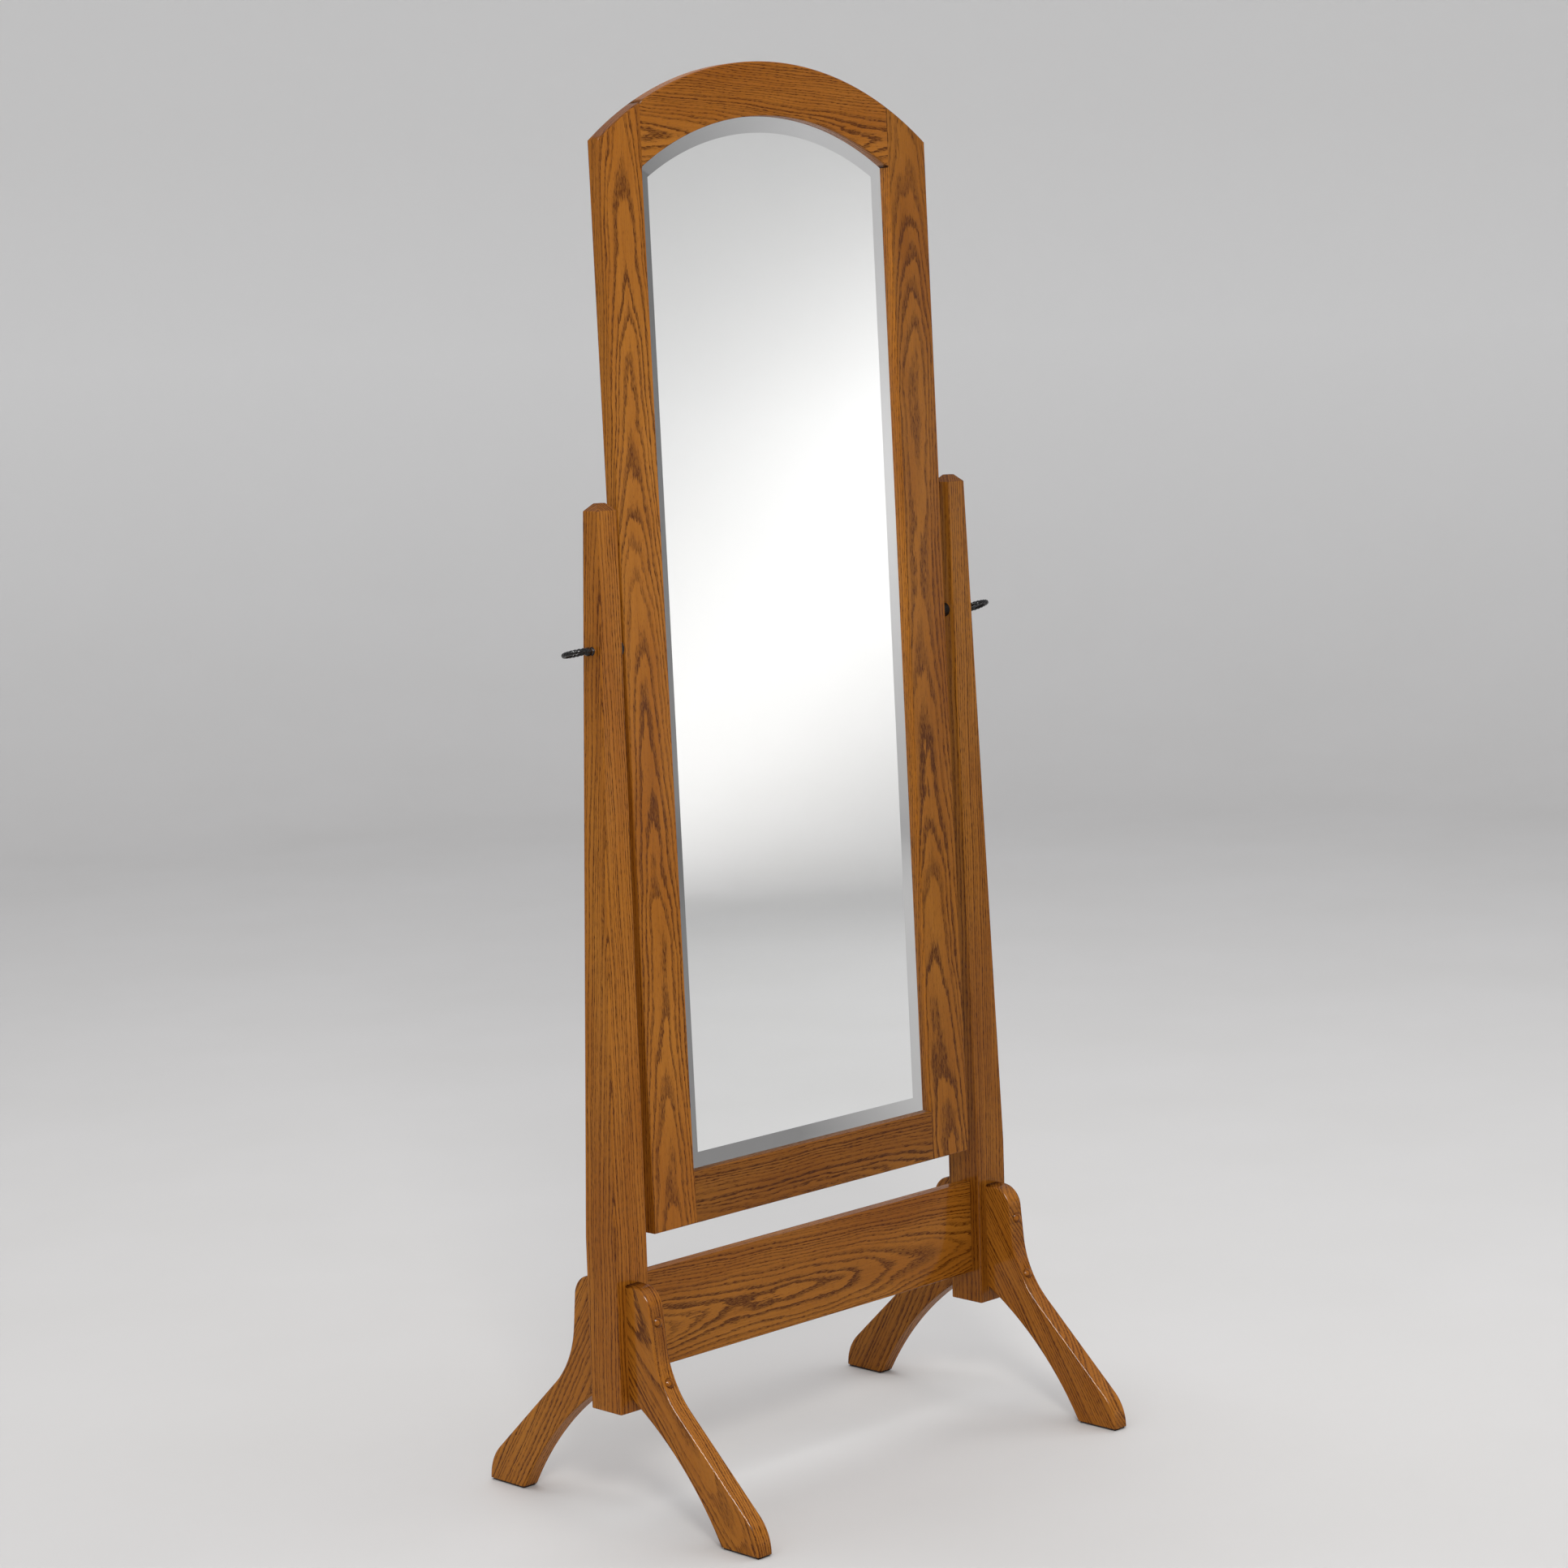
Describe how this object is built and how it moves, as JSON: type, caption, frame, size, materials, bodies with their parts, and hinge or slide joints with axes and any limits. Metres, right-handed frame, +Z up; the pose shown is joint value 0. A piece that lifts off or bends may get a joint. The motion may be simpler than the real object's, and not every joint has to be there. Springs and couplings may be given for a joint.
{
  "type": "cheval floor mirror",
  "caption": "Free-standing floor mirror: an arched, bevelled glass in an oak frame that tilts between two tapered posts on curved legs, held by ring-headed clamp knobs.",
  "frame": {"origin": "on the floor, midway between the four feet", "axes": "+X to the right of someone facing the glass, +Y from the front to the back, +Z up"},
  "size_m": [0.7848, 0.514, 1.8715],
  "materials": {
    "oak": "golden-brown stain under satin lacquer, open grain",
    "oak_dowel": "unstained",
    "mirror": "silvered float glass, bevelled and polished",
    "foam": "closed-cell foam",
    "hardboard": "tempered hardboard, matt",
    "felt": "pressed felt",
    "black_iron": "blackened wrought iron, waxed",
    "black_washer": "black, satin",
    "brass": "plain turned",
    "steel": "zinc plated"
  },
  "bodies": {
    "stand": {"left_post": "oak", "right_post": "oak", "stretcher": "oak", "stretcher_dowels": "oak_dowel", "front_left_leg": "oak", "front_right_leg": "oak", "back_left_leg": "oak", "back_right_leg": "oak", "leg_screws": "steel", "screw_plugs": "oak", "foot_pads": "felt", "left_bushing": "brass", "right_bushing": "brass", "left_spacer": "black_washer", "right_spacer": "black_washer"},
    "mirror": {"left_stile": "oak", "right_stile": "oak", "top_rail": "oak", "bottom_rail": "oak", "frame_dowels": "oak_dowel", "mirror_glass": "mirror", "glass_pads": "foam", "back_panel": "hardboard", "panel_screws": "steel", "left_insert": "brass", "right_insert": "brass"},
    "left_knob": {"left_knob_ring": "black_iron", "left_knob_stud": "steel"},
    "right_knob": {"right_knob_ring": "black_iron", "right_knob_stud": "steel"}
  },
  "joints": [
    {"name": "mirror_tilt", "type": "hinge", "parent": "stand", "child": "mirror", "pos_m": [0, 0, 1.128], "axis": [1, 0, 0], "continuous": true},
    {"name": "left_knob_turn", "type": "hinge", "parent": "mirror", "child": "left_knob", "pos_m": [-0.34727, 0, 1.128], "axis": [1, 0, 0], "range_deg": [-360, 0]},
    {"name": "right_knob_turn", "type": "hinge", "parent": "mirror", "child": "right_knob", "pos_m": [0.34727, 0, 1.128], "axis": [-1, 0, 0], "range_deg": [-360, 0]}
  ]
}
